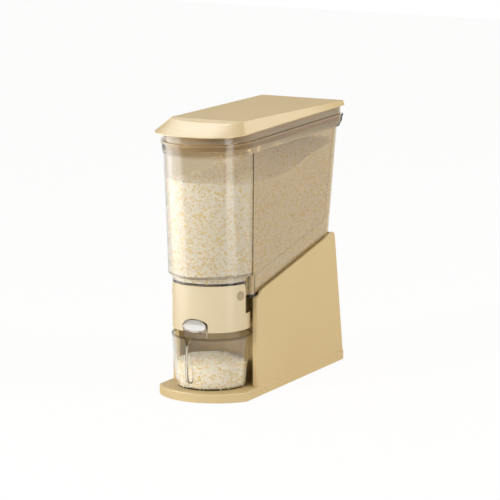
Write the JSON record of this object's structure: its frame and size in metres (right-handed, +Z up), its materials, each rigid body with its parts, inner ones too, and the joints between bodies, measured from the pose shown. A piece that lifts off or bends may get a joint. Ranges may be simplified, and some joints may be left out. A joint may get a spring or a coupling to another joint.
{
  "type": "rice dispenser",
  "caption": "Slim countertop rice dispenser: clear lidded tank on a sloped pedestal, press-button shutter over a pull-out measuring cup.",
  "frame": {"origin": "centre of the footprint, on the surface that the feet rest on", "axes": "+Z up, -Y to the front where the cup pulls out, +X to the right seen from behind the cup looking to the rear"},
  "size_m": [0.1342, 0.377, 0.3842],
  "materials": {
    "body_plastic": "satin moulded cream plastic, fine spark texture",
    "clear_plastic": "clear moulded plastic, polished",
    "silicone": "translucent off-white silicone, matt",
    "foot_rubber": "matt dark rubber",
    "cap_plastic": "pale glossy plastic",
    "rice": null,
    "steel": "bright zinc-plated steel"
  },
  "bodies": {
    "base": {"base_plate": "body_plastic", "base_screws": "steel", "pedestal_shell": "body_plastic", "foot_nose": "foot_rubber", "foot_front_left": "foot_rubber", "foot_front_right": "foot_rubber", "foot_rear_left": "foot_rubber", "foot_rear_right": "foot_rubber", "tank_pad_front_left": "silicone", "tank_pad_front_right": "silicone", "tank_pad_rear_left": "silicone", "tank_pad_rear_right": "silicone"},
    "tank_unit": {"tank": "clear_plastic", "tank_rim": "clear_plastic", "rice_fill": "rice", "outlet_cover": "body_plastic", "cover_screws": "steel", "pivot_pin_left": "clear_plastic", "pivot_pin_right": "clear_plastic", "return_spring_left": "steel", "return_spring_right": "steel"},
    "shutter_unit": {"shutter": "clear_plastic", "press_button": "clear_plastic", "button_cap": "cap_plastic"},
    "lid": {"lid_shell": "body_plastic", "lid_plug": "body_plastic", "lid_gasket": "silicone"},
    "cup": {"measuring_cup": "clear_plastic"}
  },
  "joints": [
    {"name": "tank_lift", "type": "slide", "parent": "base", "child": "tank_unit", "axis": [0, 0, 1], "range_m": [0, 0.12]},
    {"name": "button_press", "type": "hinge", "parent": "tank_unit", "child": "shutter_unit", "pos_m": [0, -0.1216, 0.1445], "axis": [1, 0, 0], "range_deg": [0, 20], "stiffness_Nm_per_rad": 0.6, "springref_deg": -8.59},
    {"name": "lid_lift", "type": "slide", "parent": "tank_unit", "child": "lid", "axis": [0, 0, 1], "range_m": [0, 0.12]},
    {"name": "cup_pull", "type": "slide", "parent": "base", "child": "cup", "axis": [0, -1, 0], "range_m": [0, 0.135]}
  ]
}
